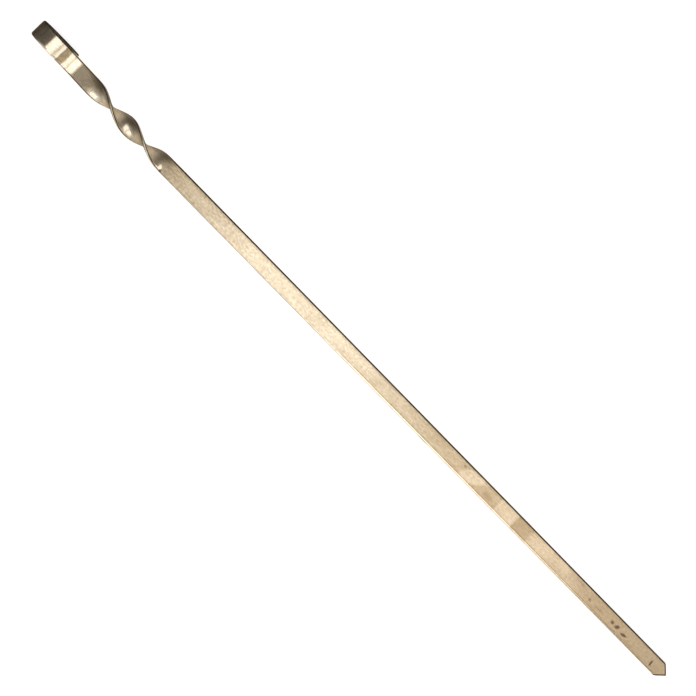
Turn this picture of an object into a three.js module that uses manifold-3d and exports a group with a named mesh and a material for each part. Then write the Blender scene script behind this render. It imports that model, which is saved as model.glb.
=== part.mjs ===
// A flat kebab skewer with a twisted neck and a ring to hold and hang it by.
//
// One strip of stainless flat bar makes the whole skewer. One end is sheared to a point. Behind the
// straight blade the bar is twisted by almost a full turn, so that a hand feels which way the blade
// lies. Its other end is bent up a little and then rolled down into a ring, and the bar's free end
// stops just under the neck. Nothing is welded or riveted on.
//
// Units are millimetres and +Z is up. The skewer lies as it comes to rest on a table, on the sole of
// its ring and on its point, with the blade along +X. The origin is on the table, in the middle of the
// skewer's own box.

import * as THREE from 'three';
import { mergeVertices, toCreasedNormals } from 'three/addons/utils/BufferGeometryUtils.js';
import Module from 'manifold-3d';

const wasm = await Module();
wasm.setup();

// Driving dimensions

const overallLength = 500;

const barWidth = 10;
const barThickness = 2;
const edgeRadius = 0.55;

const pointDegrees = 84;
const pointRadius = 0.4;
const shoulderRadius = 0.6;

const twistLength = 62.1;
const twistEase = 12;
const twistDegrees = 358.2;

const gripLength = 6.5;

const neckRadius = 18;
const neckDegrees = 40;

const ringDiameter = 23.7;
const ringGap = 0.35;

// The bar went into the bending rolls a little askew, so each pass of the ring lands beside the last.
const feedSkewDegrees = 0.7;

const dieClearance = 3;

// The hand that twisted the bar left it a little off its line. The bar leaves the twist turned to one
// side, and it sways on the way: its sideways place at equal steps through the twist, as shares of
// the bar's width.
const handleTurnDegrees = 1.95;
const swayShares = [0, -0.004, -0.039, 0.013, 0.048, 0.079, 0.066];

// How finely the curved stretches are divided

const bladeSteps = 4;
const twistSteps = 60;
const gripSteps = 1;
const neckSteps = 8;
const ringSteps = 64;
const cornerSegments = 2;
const dieSegments = 4;
const faceShares = [-0.25, 0, 0.25];
const creaseDegrees = 25;
const settleRounds = 8;

const fullTurnDegrees = 360;

// Sizes that follow from the driving dimensions

const ringOuterRadius = ringDiameter / 2;
const ringMiddleRadius = ringOuterRadius - barThickness / 2;
const neckReach = (neckRadius + ringMiddleRadius) * Math.sin(radians(neckDegrees));
const bladeLength = overallLength - twistLength - gripLength - neckReach - ringOuterRadius;

function radians(degrees) {
  return THREE.MathUtils.degToRad(degrees);
}

// Stretches of the bar, in the order in which they follow the point. Each is walked in equal strides,
// and bends and rolls the bar by a share of its whole angle at each stride.

function straightStretch(length, steps) {
  return { steps, stride: length / steps, bend: 0, roll: 0, turn: 0 };
}

function bentStretch(radius, degrees, steps) {
  const bend = radians(degrees);
  const chord = 2 * radius * Math.sin(Math.abs(bend) / steps / 2);
  const stride = chord / Math.cos(radians(feedSkewDegrees));
  return { steps, stride, bend, roll: 0, turn: 0 };
}

function twistedStretch() {
  return {
    steps: twistSteps,
    stride: twistLength / twistSteps,
    bend: 0,
    roll: radians(twistDegrees),
    turn: radians(handleTurnDegrees),
  };
}

// Part of the whole twist that is done after a share of its length. It starts and stops gently and
// runs steadily in between.
function twistDone(share) {
  const ease = twistEase / twistLength;
  const steady = 1 / (1 - ease);
  if (share < ease) return (steady * share * share) / (2 * ease);
  if (share > 1 - ease) return 1 - (steady * (1 - share) * (1 - share)) / (2 * ease);
  return steady * (share - ease / 2);
}

// The ring is rolled until its outer corner is one gap away from the neck's underside. The sides of
// the triangle that decides it are the distance between the two bends' centres, the ring's outer
// radius, and the radius of the neck's underside with the gap.
function ringDegrees() {
  const centresApart = neckRadius + ringMiddleRadius;
  const underside = neckRadius + barThickness / 2 + ringGap;
  const cosine =
    (centresApart ** 2 + ringOuterRadius ** 2 - underside ** 2) / (2 * centresApart * ringOuterRadius);
  return fullTurnDegrees - THREE.MathUtils.radToDeg(Math.acos(cosine));
}

// The bar's middle line, as a path that carries the bar's own axes with it. An ordinary path leaves
// the roll of its section to chance, while this one states it at every station.
class BarPath extends THREE.Curve {
  constructor(stretches) {
    super();
    this.type = 'BarPath';
    this.points = [];
    this.ahead = [];
    this.across = [];
    this.up = [];
    this.walk(stretches);
  }

  get stationCount() {
    return this.points.length;
  }

  // Walks from the point to the bar's free end and notes each station.
  walk(stretches) {
    const aheadAxis = new THREE.Vector3(1, 0, 0);
    const acrossAxis = new THREE.Vector3(0, 1, 0);
    const upAxis = new THREE.Vector3(0, 0, 1);
    const place = new THREE.Vector3(overallLength, 0, 0);
    const heading = new THREE.Quaternion().setFromAxisAngle(upAxis, Math.PI);
    const bendAxis = acrossAxis.clone().applyAxisAngle(upAxis, radians(feedSkewDegrees));
    const sway = new THREE.SplineCurve(swayShares.map((share, index) => new THREE.Vector2(index, share)));
    let swayNow = 0;

    const note = () => {
      this.points.push(place.clone().setY(place.y + swayNow));
      this.ahead.push(aheadAxis.clone().applyQuaternion(heading));
      this.across.push(acrossAxis.clone().applyQuaternion(heading));
      this.up.push(upAxis.clone().applyQuaternion(heading));
    };

    note();
    for (const { steps, stride, bend, roll, turn } of stretches) {
      const halfBend = new THREE.Quaternion().setFromAxisAngle(bendAxis, bend / steps / 2);
      for (let step = 0; step < steps; step += 1) {
        if (roll !== 0) {
          const rolled = roll * (twistDone((step + 1) / steps) - twistDone(step / steps));
          heading.multiply(new THREE.Quaternion().setFromAxisAngle(aheadAxis, rolled));
          heading.premultiply(new THREE.Quaternion().setFromAxisAngle(upAxis, -turn / steps));
          swayNow = sway.getPoint((step + 1) / steps).y * barWidth;
        }
        heading.multiply(halfBend);
        place.addScaledVector(aheadAxis.clone().applyQuaternion(heading), stride);
        heading.multiply(halfBend);
        note();
      }
    }
  }

  getSpacedPoints() {
    return this.points;
  }

  computeFrenetFrames() {
    return { tangents: this.ahead, normals: this.across, binormals: this.up };
  }
}

// Section of the bar: a flat rectangle with rolled, rounded edges. The wide faces carry a few points
// more than they need, which lets them turn smoothly through the twist.
function barSection() {
  const cornerX = barWidth / 2 - edgeRadius;
  const cornerY = barThickness / 2 - edgeRadius;
  const quarter = Math.PI / 2;
  const section = new THREE.Shape();
  section.absarc(cornerX, cornerY, edgeRadius, 0, quarter);
  for (const share of [...faceShares].reverse()) {
    section.lineTo(share * barWidth, barThickness / 2);
  }
  section.absarc(-cornerX, cornerY, edgeRadius, quarter, 2 * quarter);
  section.absarc(-cornerX, -cornerY, edgeRadius, 2 * quarter, 3 * quarter);
  for (const share of faceShares) {
    section.lineTo(share * barWidth, -barThickness / 2);
  }
  section.absarc(cornerX, -cornerY, edgeRadius, 3 * quarter, 4 * quarter);
  section.closePath();
  return section;
}

// A geometry as a solid that can be cut, and back again.

function toSolid(geometry) {
  const bare = geometry.clone();
  bare.deleteAttribute('normal');
  bare.deleteAttribute('uv');
  const merged = mergeVertices(bare);
  const mesh = new wasm.Mesh({
    numProp: 3,
    vertProperties: new Float32Array(merged.attributes.position.array),
    triVerts: new Uint32Array(merged.index.array),
  });
  return new wasm.Manifold(mesh);
}

function toGeometry(solid) {
  const mesh = solid.getMesh();
  const geometry = new THREE.BufferGeometry();
  geometry.setAttribute('position', new THREE.BufferAttribute(mesh.vertProperties, 3));
  geometry.setIndex(new THREE.BufferAttribute(mesh.triVerts, 1));
  return geometry;
}

// Adds a rounded corner to an outline that goes from one point to the next by way of the corner.
function roundCorner(outline, from, corner, to, radius) {
  const back = from.clone().sub(corner).normalize();
  const onward = to.clone().sub(corner).normalize();
  const halfAngle = Math.acos(back.dot(onward)) / 2;
  const tangentLength = radius / Math.tan(halfAngle);
  const start = corner.clone().addScaledVector(back, tangentLength);
  const end = corner.clone().addScaledVector(onward, tangentLength);
  outline.lineTo(start.x, start.y);
  outline.quadraticCurveTo(corner.x, corner.y, end.x, end.y);
}

// The shearing die that cuts the point. It is a block around the bar's end, with a V notch that has
// the finished point's outline, seen from above.
function pointDie() {
  const halfWidth = barWidth / 2;
  const pointLength = halfWidth / Math.tan(radians(pointDegrees / 2));
  const shoulderX = overallLength - pointLength;
  const startX = shoulderX - dieClearance;
  const endX = overallLength + dieClearance;
  const outerY = halfWidth + dieClearance;
  const leftStart = new THREE.Vector2(startX, halfWidth);
  const leftShoulder = new THREE.Vector2(shoulderX, halfWidth);
  const tip = new THREE.Vector2(overallLength, 0);
  const rightShoulder = new THREE.Vector2(shoulderX, -halfWidth);
  const rightStart = new THREE.Vector2(startX, -halfWidth);

  const outline = new THREE.Shape();
  outline.moveTo(startX, outerY);
  outline.lineTo(leftStart.x, leftStart.y);
  roundCorner(outline, leftStart, leftShoulder, tip, shoulderRadius);
  roundCorner(outline, leftShoulder, tip, rightShoulder, pointRadius);
  roundCorner(outline, tip, rightShoulder, rightStart, shoulderRadius);
  outline.lineTo(rightStart.x, rightStart.y);
  outline.lineTo(startX, -outerY);
  outline.lineTo(endX, -outerY);
  outline.lineTo(endX, outerY);
  outline.closePath();

  const depth = barThickness + 2 * dieClearance;
  const die = new THREE.ExtrudeGeometry(outline, {
    depth,
    bevelEnabled: false,
    curveSegments: dieSegments,
  });
  return die.translate(0, 0, -depth / 2);
}

// The whole skewer, still straight with its blade level and its middle line at the height of zero.
function bentBar() {
  const path = new BarPath([
    straightStretch(bladeLength, bladeSteps),
    twistedStretch(),
    straightStretch(gripLength, gripSteps),
    bentStretch(neckRadius, -neckDegrees, neckSteps),
    bentStretch(ringMiddleRadius, ringDegrees(), ringSteps),
  ]);
  const bar = new THREE.ExtrudeGeometry(barSection(), {
    extrudePath: path,
    steps: path.stationCount - 1,
    curveSegments: cornerSegments,
  });
  return toGeometry(toSolid(bar).subtract(toSolid(pointDie())));
}

// The pose in which the skewer comes to rest. It tips until its ring and its point are both down. The
// twist stops short of a full turn, so ring and blade can't both lie flat: the skewer rolls towards
// what is missing until the ring stands upright, or until one of the two cuts of the point lies along
// the table.
function restPose(geometry) {
  const missing = radians(twistDegrees - fullTurnDegrees);
  const vertex = new THREE.Vector3();
  const pose = new THREE.Euler();
  let pitch = 0;
  for (let round = 0; round < settleRounds; round += 1) {
    const rollToCut = Math.asin(Math.tan(pitch) / Math.tan(radians(pointDegrees / 2)));
    const roll = Math.sign(missing) * Math.min(Math.abs(missing), rollToCut);
    pose.set(roll, pitch, 0, 'YXZ');
    const ring = new THREE.Vector3(0, 0, Infinity);
    const point = new THREE.Vector3(0, 0, Infinity);
    for (let index = 0; index < geometry.attributes.position.count; index += 1) {
      vertex.fromBufferAttribute(geometry.attributes.position, index);
      const lowest = vertex.x < overallLength / 2 ? ring : point;
      vertex.applyEuler(pose);
      if (vertex.z < lowest.z) lowest.copy(vertex);
    }
    pitch += Math.atan2(point.z - ring.z, point.x - ring.x);
  }
  return pose;
}

function restingSkewer() {
  const geometry = bentBar();
  const stainless = new THREE.MeshStandardMaterial({ color: 0xcdbf9f, roughness: 0.32, metalness: 1 });
  const bar = new THREE.Mesh(toCreasedNormals(geometry, radians(creaseDegrees)), stainless);
  bar.name = 'skewer_bar';
  bar.rotation.copy(restPose(geometry));

  const skewer = new THREE.Group();
  skewer.add(bar);
  skewer.updateMatrixWorld(true);
  const box = new THREE.Box3().setFromObject(bar, true);
  const middle = box.getCenter(new THREE.Vector3());
  bar.position.set(-middle.x, -middle.y, -box.min.z);
  return skewer;
}

export default restingSkewer();
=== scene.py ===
"""A flat kebab skewer made from one strip of stainless bar.

The strip is modelled flat and straight first, as it comes off the shear. Then its twist, its neck
and its ring are bent into it, and it is laid on the table as it rests there. Everything is in
metres, apart from the places of marks on the steel, which are in millimetres.
"""

import math

import bmesh
import bpy
from bpy.props import FloatProperty, FloatVectorProperty, PointerProperty
from mathutils import Matrix, Quaternion, Vector


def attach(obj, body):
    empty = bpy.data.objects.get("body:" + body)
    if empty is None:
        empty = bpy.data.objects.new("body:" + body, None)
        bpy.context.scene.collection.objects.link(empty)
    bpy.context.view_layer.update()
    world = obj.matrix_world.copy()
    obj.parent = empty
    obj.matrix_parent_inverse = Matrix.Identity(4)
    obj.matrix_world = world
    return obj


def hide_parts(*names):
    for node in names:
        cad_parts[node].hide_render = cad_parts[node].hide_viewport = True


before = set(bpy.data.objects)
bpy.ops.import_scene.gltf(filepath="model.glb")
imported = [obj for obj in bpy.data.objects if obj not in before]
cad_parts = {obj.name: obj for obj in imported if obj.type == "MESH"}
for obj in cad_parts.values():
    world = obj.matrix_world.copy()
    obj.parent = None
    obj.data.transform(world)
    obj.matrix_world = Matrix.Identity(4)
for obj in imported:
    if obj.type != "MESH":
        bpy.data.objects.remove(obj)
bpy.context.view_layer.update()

bl_info = {
    "name": "Flat kebab skewer",
    "version": (1, 0, 0),
    "blender": (4, 5, 0),
    "location": "3D View > Sidebar > Skewer",
    "description": "Makes a flat kebab skewer with a painted light on the twisted neck and a rolled ring",
    "category": "Add Mesh",
}

BAR = "stainless_bar"
STRIP_PLACE = "strip_place"
MM = 0.001

# How finely the strip is divided, along its stretches and across its faces
BLADE_SLICES = 16
TWIST_SLICES = 210
GRIP_SLICES = 16
NECK_SLICES = 64
RING_SLICES = 192
EDGE_SEGMENTS = 10
FACE_COLUMNS = 11
POINT_SEGMENTS = 6
RIM_SEGMENTS = 3

# Sizes too small to be worth a control
SHEAR_ALLOWANCE = 3 * MM
RIM_RADIUS = 0.2 * MM
SUPPORT_COLUMN = 0.15 * MM
SAME_PLACE = 1e-7
SHARP_ANGLE = math.radians(32)
WIDE_FACE_WEIGHT = 100

# The bar's sideways place at equal steps through the twist, as shares of its width
SWAY_SHARES = (0, -0.004, -0.039, 0.013, 0.048, 0.079, 0.066)

X_AXIS = Vector((1, 0, 0))
Y_AXIS = Vector((0, 1, 0))
Z_AXIS = Vector((0, 0, 1))
FULL_TURN = math.radians(360)
SETTLE_ROUNDS = 8
SENSOR_WIDTH = 36

TABLE_SIZE = 40
TABLE_ROUGHNESS = 0.9

# Heights of a view, as the sine of its rise, between which the backdrop gives way to the room
BACKDROP_TOP = (0.12, 0.75)

# Soft lamps that hang level over the table. Each has its name, its ends from left to right, its
# ends from front to back, its height and its brightness, where a white page in full light is 1.
LAMPS = (
    ("overhead lamp", (-0.34, 0.25), (-0.24, 0.40), 1.0, 1.45),
    ("right lamp", (0.25, 0.72), (-0.24, 0.40), 1.0, 1.2),
    ("far right lamp", (0.72, 2.20), (-0.30, 0.45), 1.0, 0.72),
    ("front lamp", (-0.25, 0.82), (-1.45, -0.33), 1.0, 1.5),
    ("low front lamp", (-0.6, 1.2), (-3.0, -1.5), 1.0, 0.44),
    ("left front lamp", (-0.95, -0.36), (-1.45, -0.16), 1.0, 0.28),
    ("back lamp", (-0.2, 1.2), (0.7, 2.6), 1.0, 0.11),
)

# Where the steel is hazed (above 0) or rubbed bright (below 0), and where light and shade are
# painted in the same way, as the painted highlights and painted dark bands marked below. Each
# patch has its name, middle, reach, slant, the softness of its border and its strength. Middle and
# reach are in millimetres along the flat strip, from the ring to the point, and across it.
HAZES_AND_PAINTED_LIGHT = (
    ("rubbed handle", (14, 0), (24, 20), 0, 0.35, -0.45),
    # Painted light: a slight brightening of the neck's twist, set against its painted shade below
    ("painted light on the twisted neck", (67, 0), (31, 20), 0, 0.2, -0.08),
    ("start of the blade", (94, 0), (40, 20), 0, 0.85, 0.3),
    ("grip", (38.5, 2), (8.5, 12), 0, 0.2, 0.4),
    # Painted shade: the back of the ring is hazed dark, with more painted shade in the dark patches
    # below
    ("painted shade on the ring's back", (-12, 0), (16.5, 20), 0, 0.15, 0.9),
    # Painted light on the ring and neck: a painted dark reflected band by the seam, a painted
    # highlight beside it, and two thin painted dark lines in place of reflected lamp edges
    ("painted dark band by the seam", (20.0, 0), (2.1, 20), 0, 0.3, 0.9),
    ("painted highlight on the ring", (17.0, 0), (0.9, 20), 0, 0.6, -0.6),
    ("first painted dark line", (15.8, 0), (0.5, 20), 0, 0.8, 0.5),
    ("second painted dark line", (25.1, 0), (0.6, 20), 0, 0.8, 0.45),
    ("middle of the blade", (318, 0), (58, 20), 0, 0.75, 0.22),
    ("handled edge", (190, 5.0), (330, 1.8), 0, 0.6, 0.16),
    ("point end", (474, 0), (50, 20), 0, 0.25, 0.22),
    ("wiped patch", (333.5, 0.5), (6.5, 5), -0.9, 0.12, -0.26),
    ("second wiped patch", (362, 0), (7.0, 20), 0, 0.08, -0.28),
    ("smear", (347.5, -1.0), (3.4, 1.5), 0.4, 0.5, 0.25),
    ("thumb mark", (375, 0), (6.5, 20), 0, 0.10, 0.22),
    ("scoured patch", (391, 0.5), (9, 3.6), -0.5, 0.5, -0.2),
    ("small scoured patch", (408, 1.8), (5, 2.2), 0.4, 0.6, -0.25),
    # Painted highlights: two bright glints in the twist
    ("first painted glint in the twist", (44.4, -2.2), (3.2, 2.8), 0, 0.6, -1.0),
    ("second painted glint in the twist", (69, 1.5), (3.2, 2.2), 0, 0.6, -0.8),
    ("cleaner stretch", (195, 0), (75, 20), 0, 0.7, -0.08),
    # Painted highlight: a glint beside the twist, as from a small dent
    ("painted glint beside the twist", (93.4, -3.4), (1.6, 1.5), 0, 0.5, -1.3),
)

# Where the coals have tinted the steel, given as the hazes are
HEATED = (("end over the coals", (420, 0), (110, 20), 0, 0.9, 0.32),)

# Browned marks, given as the hazes are, and the heights in the strip over which they come in, so
# that they stay on its upper side
STAINS = (
    ("first fat spot", (453.2, -0.5), (1.2, 0.9), 0.2, 0.6, 0.85),
    ("second fat spot", (457.2, -0.5), (1.3, 1.2), -0.5, 0.6, 0.9),
    ("third fat spot", (463.4, -1.2), (1.9, 0.9), -0.9, 0.55, 0.9),
    ("small spot", (433.6, -0.6), (0.8, 0.9), 0.3, 0.6, 0.5),
    ("smudge", (441.5, -0.9), (3.2, 0.6), 0.3, 0.7, 0.3),
    ("upper smudge", (423.5, 2.6), (3.4, 0.7), 0.6, 0.7, 0.25),
    ("scratch across", (487.6, -1.1), (0.55, 1.9), 0.12, 0.35, 1.0),
    ("nick beside the twist", (95.2, -4.2), (0.7, 0.6), 0, 0.4, 0.9),
    ("speck", (325.8, 1.9), (0.9, 0.5), 0, 0.6, 0.5),
)
UPPER_SIDE = (-0.5, 0.5)

# Dark patches, given as the hazes are: painted shade on the back of the ring, under its edge, on
# the neck's twist and on three of its turns, and a dark dash on the thin edge
DARK_PATCHES = (
    # Painted shade: the back of the ring made dark brown
    ("painted shade on the ring's back", (-14, 0), (22, 20), 0, 0.1, 0.84),
    # Painted shade: darkens the neck's twist, and three of its turns more, dimming what they
    # reflect
    ("painted light on the twisted neck", (66, 0), (33, 20), 0, 0.15, 0.23),
    ("first painted shade in the twist", (46.5, 4), (10, 3), 0, 0.6, 0.6),
    ("second painted shade in the twist", (66, -4), (10, 3.4), 0, 0.6, 0.62),
    ("third painted shade in the twist", (87, 4), (8, 3.4), 0, 0.6, 0.55),
    # Painted shade: the gap under the edge of the ring
    ("painted shade under the ring's edge", (-29, 4.4), (20, 1.9), 0, 0.25, 0.7),
    ("dash on the thin edge", (298, -4.9), (3.4, 0.3), 0, 0.3, 0.85),
)

# Patterns of noise on the steel. Each has its stretch along the strip and across it, its count per
# millimetre, its detail and its roughness.
ROLLING_LINES = ((0.03, 1, 1), 2.4, 3, 0.6)
FLECKS = ((0.55, 1, 1), 1.0, 2, 0.65)
BLOTCHES = ((0.4, 1, 1), 0.22, 4, 0.55)
RAGS = ((1, 1, 1), 0.45, 3, 0.6)
LINE_VARIATION = ((1, 1, 1), 0.12, 2, 0.5)

# The haze over the whole bar, how much each pattern varies it, and how far it may go, as shares of
# the full haze
WEAR = 0.45
BLOTCH_HAZE = 0.5
FLECK_HAZE = 1.05
LINE_HAZE = 0.25
HAZE_LIMITS = (-0.25, 1.15)

# How far the borders of patches are pulled about, in millimetres, and what part of that is left for
# stains and for the patches of painted shade
RAGGED = 0.8
SMALL_RAGS = 0.35

LINE_DEPTH = 0.0007 * MM
CLEAN_ROUGHNESS = 0.2
HAZE_ROUGHNESS = 0.22
STAIN_AND_SHADE_ROUGHNESS = 0.25

# Painted shade: dark lines in the rounded corners, in place of the dark that they reflect. Where
# they come in and go out, as shares of the way out from the flat face to the edge. The thin one is
# on the lit side, and the others on the other side and on the neck.
THIN_LINE = ((0.86, 0.95), (0.985, 1.0))
FULL_LINE = ((0.3, 0.5), (0.96, 0.99))
NECK_LINE = ((0.35, 0.6), (0.78, 0.88))

# The thin line's strength at its weakest, what its darker stretches add to it, and between which
# values of their pattern
THIN_LINE_BASE = 0.42
LINE_VARIATION_STRENGTH = 0.4
LINE_VARIATION_RANGE = (0.38, 0.62)

# In millimetres: where the neck's line begins and ends along the strip, and over what width one
# side's line gives way to the other's
NECK_REACH = ((19, 26), (93, 103))
MIDDLE_RANGE = (-1, 1)

# Painted shade, in millimetres: how far into the two cuts of the point their dark line goes
CUT_SHADE_RANGE = (0.6, 1.0)

# Painted highlights on the edges and a painted dark line, in millimetres: how far in from the
# outline the shine of the narrow edge begins, how far out from the flat face the bright corner
# begins, how far in from there the thin dark line lies and how it thins out, and where corner and
# line begin and end along the strip
NARROW_EDGE = (0.12, 0.02)
LIT_CORNER = (0.05, 0.25)
SHADE_LINE_INSET = 0.12
SHADE_LINE_RANGE = (0.08, 0.3)
LIT_CORNER_REACH = ((195, 275), (455, 480))

# The haze that each of them adds: less for a painted highlight, more for the painted dark line
NARROW_EDGE_HIGHLIGHT = -0.6
LIT_CORNER_HIGHLIGHT = -0.8
SHADE_LINE_STRENGTH = 0.45


def length_control(name, description, default):
    return FloatProperty(
        name=name, description=description, default=default, min=0, precision=5, unit="LENGTH"
    )


def angle_control(name, description, degrees):
    return FloatProperty(
        name=name, description=description, default=math.radians(degrees), subtype="ANGLE"
    )


def colour_control(name, description, default):
    return FloatVectorProperty(
        name=name, description=description, default=default, size=3, min=0, max=1, subtype="COLOR"
    )


class SkewerShape(bpy.types.PropertyGroup):
    """Real sizes of the bar and of its bends"""

    overall_length: length_control(
        "Overall length", "From the back of the ring to the point", 500 * MM
    )
    bar_width: length_control("Bar width", "Width of the flat bar", 10 * MM)
    bar_thickness: length_control("Bar thickness", "Thickness of the flat bar", 2 * MM)
    edge_reach: length_control(
        "Edge reach", "How far in from its edges the bar is rounded", 1.25 * MM
    )
    edge_depth: length_control(
        "Edge depth", "How far down its edges the rounding goes", 0.9 * MM
    )
    point_angle: angle_control("Point angle", "Angle between the two cuts of the point", 84)
    point_radius: length_control("Point radius", "Rounding of the very tip", 0.4 * MM)
    twist_length: length_control("Twist length", "Length of the twisted stretch", 62.1 * MM)
    twist_ease: length_control(
        "Twist ease", "Length over which the twist starts and stops", 12 * MM
    )
    twist_angle: angle_control("Twist angle", "Angle from the blade to the handle", 358.2)
    handle_turn: angle_control(
        "Handle turn", "Angle by which the handle is off the blade's line", 1.95
    )
    grip_length: length_control(
        "Grip length", "Flat stretch between the twist and the neck", 6.5 * MM
    )
    neck_radius: length_control(
        "Neck radius", "Radius of the upward bend, to the bar's middle", 18 * MM
    )
    neck_angle: angle_control("Neck angle", "Angle of the upward bend", 40)
    ring_diameter: length_control("Ring diameter", "Outer diameter of the ring", 23.7 * MM)
    ring_gap: length_control(
        "Ring gap", "Gap between the bar's free end and the neck", 0.35 * MM
    )
    feed_skew: angle_control("Feed skew", "How far askew the bar went into the bending rolls", 0.7)
    laid: FloatVectorProperty(
        name="Laid",
        description="How the finished bar lies on the table",
        default=[list(row) for row in Matrix.Identity(4)],
        size=(4, 4),
        subtype="MATRIX",
    )


class SkewerFinish(bpy.types.PropertyGroup):
    """Colours of the steel, of what use has left on it, and of the painted shade"""

    steel: colour_control("Steel", "Clean mill finish of the stainless bar", (0.88, 0.765, 0.585))
    # Also the colour toward which the painted dark bands on the ring and neck are mixed
    dull_and_shaded_steel: colour_control(
        "Dull steel", "The same steel where it is hazed", (0.425, 0.32, 0.187)
    )
    glance: colour_control(
        "Glance", "How much the steel brightens at a glancing angle", (0.45, 0.4, 0.35)
    )
    heat_tint: colour_control(
        "Heat tint", "Straw colour of the end that has been hot", (0.666, 0.436, 0.22)
    )
    stain: colour_control("Stain", "Browned fat near the point", (0.2, 0.117, 0.063))
    # This dark colour paints the shade: the lines in the corners and along the cuts, and the dark
    # patches
    painted_shade_and_marks: colour_control(
        "Painted shade and marks", "Dark dirt along the corners and the cuts", (0.032, 0.027, 0.02)
    )


class SkewerStudio(bpy.types.PropertyGroup):
    """The table, the lamps and the camera"""

    floor: colour_control("Table", "Colour of the pale table", (0.62, 0.62, 0.62))
    floor_glow: FloatProperty(
        name="Table glow",
        description="Brightness that the table adds where the camera or the steel sees it",
        default=0.74,
        min=0,
        max=1,
        subtype="FACTOR",
    )
    backdrop: colour_control(
        "Backdrop", "Colour of the pale backdrop round the table", (0.8, 0.8, 0.8)
    )
    room: colour_control("Room", "Colour of the dim room behind the lamps", (0.095, 0.082, 0.07))
    camera_distance: length_control(
        "Camera distance", "From the camera to what it aims at", 520 * MM
    )
    camera_tilt: angle_control("Camera tilt", "Lean of the view from straight above the blade", 7.5)
    camera_roll: angle_control("Camera roll", "Turn of the picture against the blade", 45.594)
    camera_lens: FloatProperty(
        name="Lens", description="Focal length in millimetres", default=49.3, min=1
    )
    aim: FloatVectorProperty(
        name="Aim",
        description="What the camera aims at, on the straight bar",
        default=(232.32 * MM, 1.312 * MM, 0),
        size=3,
        subtype="TRANSLATION",
    )


class Stretch:
    """A stretch of the bar that is bent and rolled evenly, or twisted, over its whole length"""

    def __init__(self, length, slices, stride=None, bend=0.0, twisted=False):
        self.length = length
        self.slices = slices
        self.stride = length / slices if stride is None else stride
        self.bend = bend
        self.twisted = twisted


def bent_stretch(radius, angle, slices, skew):
    chord = 2 * radius * math.sin(abs(angle) / slices / 2)
    length = radius * abs(angle) / math.cos(skew)
    return Stretch(length, slices, stride=chord / math.cos(skew), bend=angle)


def ring_angle(shape):
    """The ring is rolled until its outer corner is one gap away from the neck's underside."""
    outer = shape.ring_diameter / 2
    centres_apart = shape.neck_radius + outer - shape.bar_thickness / 2
    underside = shape.neck_radius + shape.bar_thickness / 2 + shape.ring_gap
    cosine = (centres_apart**2 + outer**2 - underside**2) / (2 * centres_apart * outer)
    return FULL_TURN - math.acos(cosine)


def bar_stretches(shape):
    """The stretches of the bar in the order in which they follow the point"""
    ring_outer = shape.ring_diameter / 2
    ring_middle = ring_outer - shape.bar_thickness / 2
    neck_reach = (shape.neck_radius + ring_middle) * math.sin(shape.neck_angle)
    handle = shape.twist_length + shape.grip_length + neck_reach + ring_outer
    return (
        Stretch(shape.overall_length - handle, BLADE_SLICES),
        Stretch(shape.twist_length, TWIST_SLICES, twisted=True),
        Stretch(shape.grip_length, GRIP_SLICES),
        bent_stretch(shape.neck_radius, -shape.neck_angle, NECK_SLICES, shape.feed_skew),
        bent_stretch(ring_middle, ring_angle(shape), RING_SLICES, shape.feed_skew),
    )


def twist_done(share, shape):
    """Part of the whole twist that is done after a share of its length"""
    ease = shape.twist_ease / shape.twist_length
    steady = 1 / (1 - ease)
    if share < ease:
        return steady * share * share / (2 * ease)
    if share > 1 - ease:
        return 1 - steady * (1 - share) * (1 - share) / (2 * ease)
    return steady * (share - ease / 2)


def sway_at(share):
    """Sideways place of the bar after a share of the twist, on a smooth curve through the shares"""
    last = len(SWAY_SHARES) - 1
    position = share * last
    index = min(int(position), last - 1)
    t = position - index
    before, here, there, after = (SWAY_SHARES[max(0, min(last, index + k))] for k in (-1, 0, 1, 2))
    leave = (there - before) / 2
    arrive = (after - here) / 2
    cubic = 2 * here - 2 * there + leave + arrive
    square = -3 * here + 3 * there - 2 * leave - arrive
    return ((cubic * t + square) * t + leave) * t + here


def bent_places(shape, stretches):
    """For each slice, its place along the flat strip and the matrix that bends it from there."""
    heading = Quaternion(Z_AXIS, math.pi)
    place = Vector((shape.overall_length, 0, 0))
    along = shape.overall_length
    turned_over = Matrix.Rotation(math.pi, 4, "Z")
    bend_axis = Quaternion(Z_AXIS, shape.feed_skew) @ Y_AXIS
    sway = 0.0
    places = []
    for stretch in stretches:
        half_bend = Quaternion(bend_axis, stretch.bend / stretch.slices / 2)
        for step in range(stretch.slices):
            start, end = step / stretch.slices, (step + 1) / stretch.slices
            if stretch.twisted:
                rolled = shape.twist_angle * (twist_done(end, shape) - twist_done(start, shape))
                heading = heading @ Quaternion(X_AXIS, rolled)
                heading = Quaternion(Z_AXIS, -shape.handle_turn / stretch.slices) @ heading
                sway = sway_at(end) * shape.bar_width
            heading = heading @ half_bend
            place = place + heading @ X_AXIS * stretch.stride
            heading = heading @ half_bend
            along -= stretch.length / stretch.slices
            bent = Matrix.Translation(place + Y_AXIS * sway) @ heading.to_matrix().to_4x4()
            flat = Matrix.Translation((-along, 0, 0))
            places.append((along, bent @ turned_over @ flat))
    return places


def cut_plane(bm, point, normal, clear=False):
    """Cuts everything with a plane, and returns the edges of the cut."""
    cut = bmesh.ops.bisect_plane(
        bm,
        geom=bm.verts[:] + bm.edges[:] + bm.faces[:],
        dist=SAME_PLACE,
        plane_co=point,
        plane_no=normal,
        clear_outer=clear,
    )
    return [piece for piece in cut["geom_cut"] if isinstance(piece, bmesh.types.BMEdge)]


def round_edges(bm, edges, radius, segments):
    bmesh.ops.bevel(
        bm,
        geom=edges,
        offset=radius,
        offset_type="OFFSET",
        segments=segments,
        profile=0.5,
        affect="EDGES",
        material=-1,
        clamp_overlap=True,
    )


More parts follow.
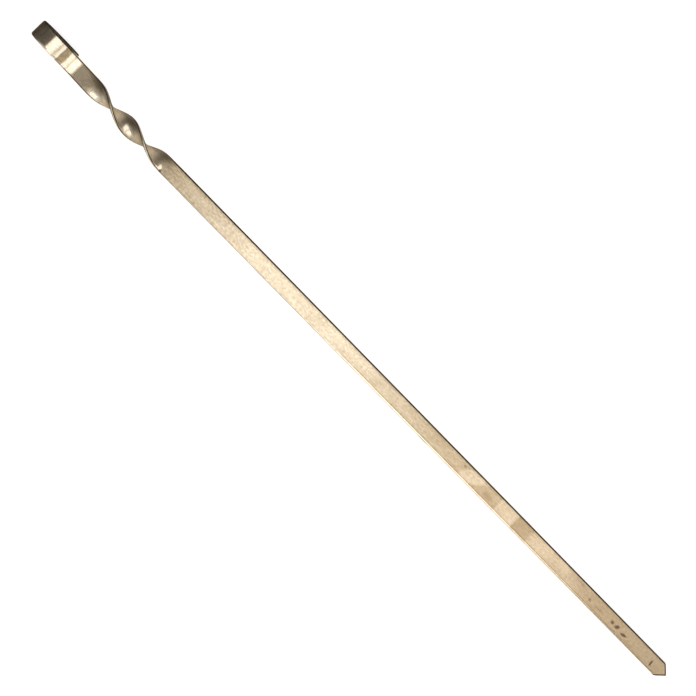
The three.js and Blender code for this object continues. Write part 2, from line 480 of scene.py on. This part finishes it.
def roll_flat_bar(bm, shape, blank_length):
    """A straight bar with rolled round edges, a little longer than the finished point needs.

    Its edges are rounded on a bar of more thickness, which is then pressed to the real thickness.
    """
    pressed = shape.edge_depth / shape.edge_reach
    bmesh.ops.create_cube(bm, size=1)
    bmesh.ops.scale(
        bm, vec=(blank_length, shape.bar_width, shape.bar_thickness / pressed), verts=bm.verts
    )
    middle = shape.overall_length + SHEAR_ALLOWANCE - blank_length / 2
    bmesh.ops.translate(bm, vec=(middle, 0, 0), verts=bm.verts)
    long_edges = [edge for edge in bm.edges if edge.calc_length() > blank_length / 2]
    round_edges(bm, long_edges, shape.edge_reach, EDGE_SEGMENTS)
    bmesh.ops.scale(bm, vec=(1, 1, pressed), verts=bm.verts)


def shear_point(bm, shape):
    """Two straight cuts meet in the point, which is rounded a little."""
    half = shape.point_angle / 2
    tip = Vector((shape.overall_length, 0, 0))
    for side in (-1, 1):
        outward = Vector((math.sin(half), side * math.cos(half), 0))
        rim = cut_plane(bm, tip, outward, clear=True)
        bmesh.ops.holes_fill(bm, edges=rim, sides=0)
    apex = [
        edge
        for edge in bm.edges
        if all((vert.co - tip).to_2d().length < RIM_RADIUS for vert in edge.verts)
    ]
    round_edges(bm, apex, shape.point_radius / math.tan(half), POINT_SEGMENTS)


def soften_cut_rims(bm):
    """Takes the knife edge off the rims of both sheared ends."""
    rims = [edge for edge in bm.edges if edge.calc_face_angle(0) > SHARP_ANGLE]
    round_edges(bm, rims, RIM_RADIUS, RIM_SEGMENTS)


def slice_strip(bm, shape, stretches):
    """Divides each stretch into equal slices, so that it can be bent smoothly."""
    end = shape.overall_length
    for stretch in stretches:
        start, end = end, end - stretch.length
        if stretch is not stretches[-1]:
            cut_plane(bm, (end, 0, 0), X_AXIS)
        if stretch is stretches[0]:
            continue
        runs = [
            edge
            for edge in bm.edges
            if edge.calc_length() > stretch.length / 2
            and end < (edge.verts[0].co.x + edge.verts[1].co.x) / 2 < start
        ]
        bmesh.ops.subdivide_edges(bm, edges=runs, cuts=stretch.slices - 1, use_grid_fill=True)


def column_strip(bm, shape):
    """Divides the wide faces lengthwise, with a narrow column beside each rounded edge."""
    flat = shape.bar_width / 2 - shape.edge_reach - SUPPORT_COLUMN
    for column in range(FACE_COLUMNS + 1):
        side = flat * (2 * column / FACE_COLUMNS - 1)
        cut_plane(bm, (0, side, 0), Y_AXIS)


def cut_blank(shape, stretches):
    """The flat strip with both ends cut, divided into slices and columns."""
    bm = bmesh.new()
    developed = sum(stretch.length for stretch in stretches)
    roll_flat_bar(bm, shape, developed + SHEAR_ALLOWANCE)
    shear_point(bm, shape)
    soften_cut_rims(bm)
    column_strip(bm, shape)
    slice_strip(bm, shape, stretches)
    return bm


def keep_flat_places(bm):
    """Each vertex keeps its place on the flat strip, which the steel's grain and marks follow."""
    flat_place = bm.verts.layers.float_vector.new(STRIP_PLACE)
    for vert in bm.verts:
        vert[flat_place] = vert.co


def bend_strip(bm, shape, stretches):
    """Moves each slice of the strip as a whole to its place in the bent bar."""
    places = bent_places(shape, stretches)
    first = len(places) - sum(stretch.slices for stretch in stretches[1:])
    bent = places[first:]
    spacing = min(stretch.length / stretch.slices for stretch in stretches) / 2
    groups = {}
    loose = sorted(
        (vert for vert in bm.verts if vert.co.x < bent[0][0] + spacing), key=lambda vert: -vert.co.x
    )
    index = 0
    for vert in loose:
        while index + 1 < len(bent) and vert.co.x < (bent[index][0] + bent[index + 1][0]) / 2:
            index += 1
        groups.setdefault(index, []).append(vert)
    for index, verts in groups.items():
        bmesh.ops.transform(bm, matrix=bent[index][1], verts=verts)


def rest_pose(bm, shape):
    """The turn that lays the skewer on the sole of its ring and on its point"""
    missing = shape.twist_angle - FULL_TURN
    ring_side = [vert.co.copy() for vert in bm.verts if vert.co.x < 2 * shape.ring_diameter]
    point_side = [
        vert.co.copy() for vert in bm.verts if vert.co.x > shape.overall_length - shape.bar_width
    ]
    pitch = 0.0
    for _ in range(SETTLE_ROUNDS):
        roll_to_cut = math.asin(math.tan(pitch) / math.tan(shape.point_angle / 2))
        roll = math.copysign(min(abs(missing), roll_to_cut), missing)
        turn = Matrix.Rotation(pitch, 3, "Y") @ Matrix.Rotation(roll, 3, "X")
        ring = min((turn @ place for place in ring_side), key=lambda place: place.z)
        point = min((turn @ place for place in point_side), key=lambda place: place.z)
        pitch += math.atan2(point.z - ring.z, point.x - ring.x)
    return turn.to_4x4()


def lay_on_table(bm, shape):
    """Lays the skewer down with the middle of its box over the origin, and returns how it moved."""
    turn = rest_pose(bm, shape)
    bmesh.ops.transform(bm, matrix=turn, verts=bm.verts)
    lows = [min(vert.co[axis] for vert in bm.verts) for axis in range(3)]
    highs = [max(vert.co[axis] for vert in bm.verts) for axis in range(3)]
    shift = Vector((-(lows[0] + highs[0]) / 2, -(lows[1] + highs[1]) / 2, -lows[2]))
    bmesh.ops.translate(bm, vec=shift, verts=bm.verts)
    return Matrix.Translation(shift) @ turn


def show_creases(bm):
    for face in bm.faces:
        face.smooth = True
    for edge in bm.edges:
        edge.smooth = edge.calc_face_angle(0) < SHARP_ANGLE


def model_bar(shape):
    """The finished bar as a mesh, and the matrix that lays the straight bar on the table"""
    stretches = bar_stretches(shape)
    bm = cut_blank(shape, stretches)
    keep_flat_places(bm)
    bend_strip(bm, shape, stretches)
    laid = lay_on_table(bm, shape)
    show_creases(bm)
    mesh = bpy.data.meshes.new(BAR)
    bm.to_mesh(mesh)
    bm.free()
    return mesh, laid


def keep_flats_flat(bar):
    """The small rounded faces take all of the shading's turn, so the wide faces stay flat."""
    modifier = bar.modifiers.new("flat faces", "WEIGHTED_NORMAL")
    modifier.mode = "FACE_AREA"
    modifier.weight = WIDE_FACE_WEIGHT
    modifier.keep_sharp = True


class Wiring:
    """Adds nodes to one node tree, with their inputs in order as sockets or as plain values."""

    def __init__(self, tree):
        self.tree = tree

    def add(self, kind, *values, **settings):
        node = self.tree.nodes.new(kind)
        for name, value in settings.items():
            setattr(node, name, value)
        for value, socket in zip(values, node.inputs):
            self.feed(value, socket)
        return node

    def feed(self, value, socket):
        if isinstance(value, bpy.types.NodeSocket):
            self.tree.links.new(value, socket)
        else:
            socket.default_value = value

    def feed_named(self, node, **values):
        for name, value in values.items():
            self.feed(value, node.inputs[name])

    def maths(self, operation, *values):
        return self.add("ShaderNodeMath", *values, operation=operation).outputs[0]

    def vector_maths(self, operation, *values):
        node = self.add("ShaderNodeVectorMath", *values, operation=operation)
        return node.outputs["Value" if operation in ("LENGTH", "DOT_PRODUCT") else "Vector"]

    def axes(self, place):
        return self.add("ShaderNodeSeparateXYZ", place).outputs

    def inverse(self, share):
        return self.maths("SUBTRACT", 1.0, share)

    def rise(self, value, low, high):
        """0 below the low value and 1 above the high one, with a smooth rise between them"""
        node = self.add(
            "ShaderNodeMapRange", value, low, high, 0.0, 1.0, interpolation_type="SMOOTHSTEP"
        )
        return node.outputs[0]

    def between(self, value, begins, ends):
        """1 where a value is past its first range and short of its second one, and 0 elsewhere"""
        return self.maths("SUBTRACT", self.rise(value, *begins), self.rise(value, *ends))

    def from_to(self, share, below, above):
        """The first value at a share of 0, and the second one at a share of 1"""
        return self.maths("MULTIPLY_ADD", share, self.maths("SUBTRACT", above, below), below)

    def noise(self, place, stretch, scale, detail, roughness):
        node = self.add("ShaderNodeTexNoise", self.vector_maths("MULTIPLY", place, stretch))
        self.feed_named(node, Scale=scale, Detail=detail, Roughness=roughness)
        return node.outputs

    def blend(self, share, below, above, **settings):
        """Two colours, mixed by a share"""
        node = self.add("ShaderNodeMix", data_type="RGBA", **settings)
        self.feed(share, node.inputs["Factor"])
        self.feed(below, node.inputs[6])
        self.feed(above, node.inputs[7])
        return node.outputs[2]


def new_group(name, inputs, outputs):
    """An empty shader node group, the wiring to fill it and the sockets that it is given"""
    group = bpy.data.node_groups.new(name, "ShaderNodeTree")
    for socket_name, kind in inputs:
        group.interface.new_socket(name=socket_name, in_out="INPUT", socket_type=kind)
    for socket_name in outputs:
        group.interface.new_socket(
            name=socket_name, in_out="OUTPUT", socket_type="NodeSocketFloat"
        )
    wiring = Wiring(group)
    return group, wiring, wiring.add("NodeGroupInput").outputs


def soft_patch_group():
    """A soft oval patch on the strip, which may lean over to one side"""
    inputs = (
        ("Place", "NodeSocketVector"),
        ("Middle", "NodeSocketVector"),
        ("Reach", "NodeSocketVector"),
        ("Slant", "NodeSocketFloat"),
        ("Softness", "NodeSocketFloat"),
    )
    group, wiring, given = new_group("soft patch", inputs, ("Mask",))
    away = wiring.axes(wiring.vector_maths("SUBTRACT", given["Place"], given["Middle"]))
    along = wiring.maths("MULTIPLY_ADD", away["Y"], given["Slant"], away["X"])
    straightened = wiring.add("ShaderNodeCombineXYZ", along, away["Y"]).outputs[0]
    share = wiring.vector_maths("DIVIDE", straightened, given["Reach"])
    distance = wiring.vector_maths("LENGTH", share)
    inner = wiring.inverse(given["Softness"])
    outer = wiring.maths("ADD", 1.0, given["Softness"])
    wiring.add("NodeGroupOutput", wiring.inverse(wiring.rise(distance, inner, outer)))
    return group


def rolled_grain_group():
    """Fine lines along the strip from its rolling, and the speckle between them"""
    inputs = (("Place", "NodeSocketVector"),)
    group, wiring, given = new_group("rolled grain", inputs, ("Height", "Speckle"))
    lines = wiring.noise(given["Place"], *ROLLING_LINES)[0]
    speckle = wiring.noise(given["Place"], *FLECKS)[0]
    wiring.add("NodeGroupOutput", lines, speckle)
    return group


def patch(wiring, group, place, row):
    """One patch of a table of patches, at its strength"""
    _, middle, reach, slant, softness, strength = row
    node = wiring.add("ShaderNodeGroup", node_tree=group)
    wiring.feed_named(
        node, Place=place, Middle=(*middle, 0), Reach=(*reach, 1), Slant=slant, Softness=softness
    )
    return wiring.maths("MULTIPLY", node.outputs["Mask"], strength)


def strongest_patch(wiring, group, place, rows):
    """The strongest of several patches, wherever they meet"""
    strongest = 0.0
    for row in rows:
        strongest = wiring.maths("MAXIMUM", patch(wiring, group, place, row), strongest)
    return strongest


def painted_corner_shade(wiring, place, shape):
    """Painted shade: dark lines in the rounded corners, thin and broken on the lit side"""
    parts = wiring.axes(place)
    start = (shape.bar_width / 2 - shape.edge_reach) / MM
    inside = wiring.maths("SUBTRACT", wiring.maths("ABSOLUTE", parts["Y"]), start)
    share = wiring.maths("DIVIDE", inside, shape.edge_reach / MM)
    thin, full, neck = (
        wiring.between(share, *line) for line in (THIN_LINE, FULL_LINE, NECK_LINE)
    )
    variation = wiring.rise(wiring.noise(place, *LINE_VARIATION)[0], *LINE_VARIATION_RANGE)
    strength = wiring.maths("MULTIPLY_ADD", variation, LINE_VARIATION_STRENGTH, THIN_LINE_BASE)
    weak = wiring.maths("MULTIPLY", thin, strength)
    line = wiring.from_to(wiring.rise(parts["Y"], *MIDDLE_RANGE), weak, full)
    return wiring.from_to(wiring.between(parts["X"], *NECK_REACH), line, neck)


def painted_edge_light(wiring, place, shape):
    """Painted highlights of less haze on the narrow edges and a blade corner, by a thin painted
    dark line
    """
    parts = wiring.axes(place)
    half = shape.bar_width / 2 / MM
    start = half - shape.edge_reach / MM
    across = wiring.maths("ABSOLUTE", parts["Y"])
    narrow = wiring.rise(across, *(half - inset for inset in NARROW_EDGE))
    low_side = wiring.maths("MULTIPLY", parts["Y"], -1.0)
    corner = wiring.rise(low_side, *(start + past for past in LIT_CORNER))
    from_line = wiring.maths("SUBTRACT", low_side, start - SHADE_LINE_INSET)
    from_line = wiring.maths("ABSOLUTE", from_line)
    line = wiring.inverse(wiring.rise(from_line, *SHADE_LINE_RANGE))
    line_shade = wiring.maths("MULTIPLY", line, SHADE_LINE_STRENGTH)
    blade = wiring.maths("MULTIPLY_ADD", corner, LIT_CORNER_HIGHLIGHT, line_shade)
    blade = wiring.maths("MULTIPLY", blade, wiring.between(parts["X"], *LIT_CORNER_REACH))
    return wiring.maths("MULTIPLY_ADD", narrow, NARROW_EDGE_HIGHLIGHT, blade)


def painted_cut_shade(wiring, place, shape):
    """Painted shade: a dark line along the two cuts of the point"""
    half = shape.point_angle / 2
    folded = wiring.vector_maths("ABSOLUTE", place)
    outward = (math.sin(half), math.cos(half), 0)
    reach = wiring.vector_maths("DOT_PRODUCT", folded, outward)
    from_cut = wiring.maths("SUBTRACT", shape.overall_length / MM * math.sin(half), reach)
    return wiring.inverse(wiring.rise(from_cut, *CUT_SHADE_RANGE))


def sum_haze_and_painted_light(wiring, place, ragged, soft_patch, grain, shape):
    """How dull the steel is from its patterns, patches and edges, painted highlights and shade
    included
    """
    haze_and_painted_light = WEAR
    for pattern, strength in (
        (wiring.noise(place, *BLOTCHES)[0], BLOTCH_HAZE),
        (grain["Speckle"], FLECK_HAZE),
        (grain["Height"], LINE_HAZE),
    ):
        varied = wiring.maths("MULTIPLY_ADD", pattern, strength, -strength / 2)
        haze_and_painted_light = wiring.maths("ADD", haze_and_painted_light, varied)
    for row in HAZES_AND_PAINTED_LIGHT:
        haze_and_painted_light = wiring.maths("ADD", haze_and_painted_light, patch(wiring, soft_patch, ragged, row))
    haze_and_painted_light = wiring.maths("ADD", haze_and_painted_light, painted_edge_light(wiring, place, shape))
    lowest, highest = HAZE_LIMITS
    return wiring.maths("MAXIMUM", wiring.maths("MINIMUM", haze_and_painted_light, highest), lowest)


def worn_steel_with_painted_light(finish, shape):
    """Mill-finished stainless bar, hazed and rubbed by use, with painted highlights and painted
    shade
    """
    material = bpy.data.materials.new("worn stainless with painted light")
    material.use_nodes = True
    wiring = Wiring(material.node_tree)
    strip = wiring.add("ShaderNodeAttribute", attribute_name=STRIP_PLACE).outputs["Vector"]
    place = wiring.vector_maths("DIVIDE", strip, (MM, MM, MM))
    pull = wiring.noise(place, *RAGS)["Color"]
    pull = wiring.vector_maths(
        "MULTIPLY_ADD", pull, (2 * RAGGED, 2 * RAGGED, 0), (-RAGGED, -RAGGED, 0)
    )
    ragged = wiring.vector_maths("ADD", place, pull)
    torn = wiring.vector_maths("MULTIPLY_ADD", pull, (SMALL_RAGS, SMALL_RAGS, 0), place)
    grain = wiring.add("ShaderNodeGroup", node_tree=rolled_grain_group())
    wiring.feed_named(grain, Place=place)
    soft_patch = soft_patch_group()

    haze_and_painted_light = sum_haze_and_painted_light(wiring, place, ragged, soft_patch, grain.outputs, shape)
    heated = strongest_patch(wiring, soft_patch, ragged, HEATED)
    stained = strongest_patch(wiring, soft_patch, torn, STAINS)
    upper = wiring.rise(wiring.axes(place)["Z"], *UPPER_SIDE)
    stained = wiring.maths("MULTIPLY", stained, upper)
    # Painted shade: the dark patches, the lines in the corners and the lines along the cuts
    painted_shade_and_marks = strongest_patch(wiring, soft_patch, torn, DARK_PATCHES)
    painted_shade_and_marks = wiring.maths("MAXIMUM", painted_corner_shade(wiring, place, shape), painted_shade_and_marks)
    painted_shade_and_marks = wiring.maths("MAXIMUM", painted_cut_shade(wiring, place, shape), painted_shade_and_marks)

    steel, dull_and_shaded_steel = (*finish.steel, 1), (*finish.dull_and_shaded_steel, 1)
    # Painted highlights and painted dark bands come in here, mixed with the haze
    colour = wiring.blend(haze_and_painted_light, steel, dull_and_shaded_steel, clamp_factor=False)
    colour = wiring.blend(heated, colour, (*finish.heat_tint, 1))
    colour = wiring.blend(stained, colour, (*finish.stain, 1))
    colour = wiring.blend(painted_shade_and_marks, colour, (*finish.painted_shade_and_marks, 1))
    rough = wiring.maths("MULTIPLY_ADD", haze_and_painted_light, HAZE_ROUGHNESS, CLEAN_ROUGHNESS)
    stain_and_shade = wiring.maths("MAXIMUM", stained, painted_shade_and_marks)
    rough = wiring.maths("MULTIPLY_ADD", stain_and_shade, STAIN_AND_SHADE_ROUGHNESS, rough)
    bump = wiring.add("ShaderNodeBump")
    wiring.feed_named(bump, Strength=1, Distance=LINE_DEPTH, Height=grain.outputs["Height"])
    shader = material.node_tree.nodes["Principled BSDF"]
    wiring.feed_named(shader, Metallic=1, Roughness=rough, Normal=bump.outputs[0])
    wiring.feed(colour, shader.inputs["Base Color"])
    wiring.feed((*finish.glance, 1), shader.inputs["Specular Tint"])
    return material


class SKEWER_OT_bar(bpy.types.Operator):
    """Makes the whole skewer from one strip of stainless bar"""

    bl_idname = "skewer.bar"
    bl_label = "Bar"

    def execute(self, context):
        shape = context.scene.skewer_shape
        mesh, laid = model_bar(shape)
        shape.laid = laid
        bar = bpy.data.objects.new(BAR, mesh)
        context.scene.collection.objects.link(bar)
        keep_flats_flat(bar)
        mesh.materials.append(worn_steel_with_painted_light(context.scene.skewer_finish, shape))
        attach(bar, "root")
        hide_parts("skewer_bar")
        return {"FINISHED"}


def place_camera(scene, shape, studio):
    """Puts the camera where the photograph was taken from."""
    laid = Matrix(shape.laid)
    lean = Matrix.Rotation(-studio.camera_tilt, 4, "Y")
    turn = Matrix.Rotation(studio.camera_roll, 4, "Z")
    aim = Matrix.Translation(studio.aim)
    back = Matrix.Translation((0, 0, studio.camera_distance))
    data = bpy.data.cameras.new("camera")
    data.sensor_width = SENSOR_WIDTH
    data.lens = studio.camera_lens
    camera = bpy.data.objects.new("camera", data)
    camera.matrix_world = laid @ aim @ lean @ turn @ back
    scene.collection.objects.link(camera)
    scene.camera = camera


def table_finish(studio):
    """A pale table that glows a little to the camera and to the steel, so that it looks white."""
    material = bpy.data.materials.new("pale table")
    material.use_nodes = True
    wiring = Wiring(material.node_tree)
    nodes = material.node_tree.nodes
    paper = nodes["Principled BSDF"]
    wiring.feed((*studio.floor, 1), paper.inputs["Base Color"])
    wiring.feed(TABLE_ROUGHNESS, paper.inputs["Roughness"])
    ray = wiring.add("ShaderNodeLightPath").outputs
    mirrored = wiring.maths("MAXIMUM", ray["Is Glossy Ray"], ray["Is Transmission Ray"])
    looked_at = wiring.maths("MAXIMUM", ray["Is Camera Ray"], mirrored)
    glow = wiring.add("ShaderNodeEmission")
    wiring.feed(wiring.maths("MULTIPLY", looked_at, studio.floor_glow), glow.inputs["Strength"])
    both = wiring.add("ShaderNodeAddShader", paper.outputs[0], glow.outputs[0])
    wiring.feed(both.outputs[0], nodes["Material Output"].inputs["Surface"])
    return material


def set_table(scene, studio):
    bm = bmesh.new()
    bmesh.ops.create_grid(bm, x_segments=1, y_segments=1, size=TABLE_SIZE / 2)
    mesh = bpy.data.meshes.new("table")
    bm.to_mesh(mesh)
    bm.free()
    mesh.materials.append(table_finish(studio))
    table = bpy.data.objects.new("table", mesh)
    scene.collection.objects.link(table)


def hang_lamp(scene, name, sides, depths, height, brightness):
    """A soft rectangular lamp that shines straight down"""
    data = bpy.data.lights.new(name, "AREA")
    data.shape = "RECTANGLE"
    data.size = sides[1] - sides[0]
    data.size_y = depths[1] - depths[0]
    data.energy = brightness * math.pi * data.size * data.size_y
    lamp = bpy.data.objects.new(name, data)
    lamp.location = (sum(sides) / 2, sum(depths) / 2, height)
    scene.collection.objects.link(lamp)


def light_room(scene, studio):
    """A pale backdrop stands low round the table, with the dim room above it."""
    world = bpy.data.worlds.new("room")
    world.use_nodes = True
    wiring = Wiring(world.node_tree)
    direction = wiring.add("ShaderNodeTexCoord").outputs["Generated"]
    above = wiring.rise(wiring.axes(direction)["Z"], *BACKDROP_TOP)
    colour = wiring.blend(above, (*studio.backdrop, 1), (*studio.room, 1))
    wiring.feed(colour, world.node_tree.nodes["Background"].inputs["Color"])
    scene.world = world


class SKEWER_OT_studio(bpy.types.Operator):
    """Sets up the table, the lamps and the camera"""

    bl_idname = "skewer.studio"
    bl_label = "Studio"

    def execute(self, context):
        scene = context.scene
        studio = scene.skewer_studio
        set_table(scene, studio)
        light_room(scene, studio)
        for lamp in LAMPS:
            hang_lamp(scene, *lamp)
        place_camera(scene, scene.skewer_shape, studio)
        scene.view_settings.view_transform = "Standard"
        return {"FINISHED"}


class SKEWER_PT_panel(bpy.types.Panel):
    """The skewer's pieces, in the order in which they are made"""

    bl_label = "Skewer"
    bl_space_type = "VIEW_3D"
    bl_region_type = "UI"
    bl_category = "Skewer"

    def draw(self, context):
        for operator in (SKEWER_OT_bar, SKEWER_OT_studio):
            self.layout.operator(operator.bl_idname)
        scene = context.scene
        for group in (scene.skewer_shape, scene.skewer_finish, scene.skewer_studio):
            box = self.layout.box()
            for name in group.bl_rna.properties.keys():
                if name not in ("rna_type", "name", "laid"):
                    box.prop(group, name)


CLASSES = (
    SkewerShape,
    SkewerFinish,
    SkewerStudio,
    SKEWER_OT_bar,
    SKEWER_OT_studio,
    SKEWER_PT_panel,
)


def register():
    for cls in CLASSES:
        bpy.utils.register_class(cls)
    bpy.types.Scene.skewer_shape = PointerProperty(type=SkewerShape)
    bpy.types.Scene.skewer_finish = PointerProperty(type=SkewerFinish)
    bpy.types.Scene.skewer_studio = PointerProperty(type=SkewerStudio)


def unregister():
    del bpy.types.Scene.skewer_studio
    del bpy.types.Scene.skewer_finish
    del bpy.types.Scene.skewer_shape
    for cls in reversed(CLASSES):
        bpy.utils.unregister_class(cls)


def main():
    register()
    bpy.ops.skewer.bar()
    bpy.ops.skewer.studio()


if __name__ == "__main__":
    main()
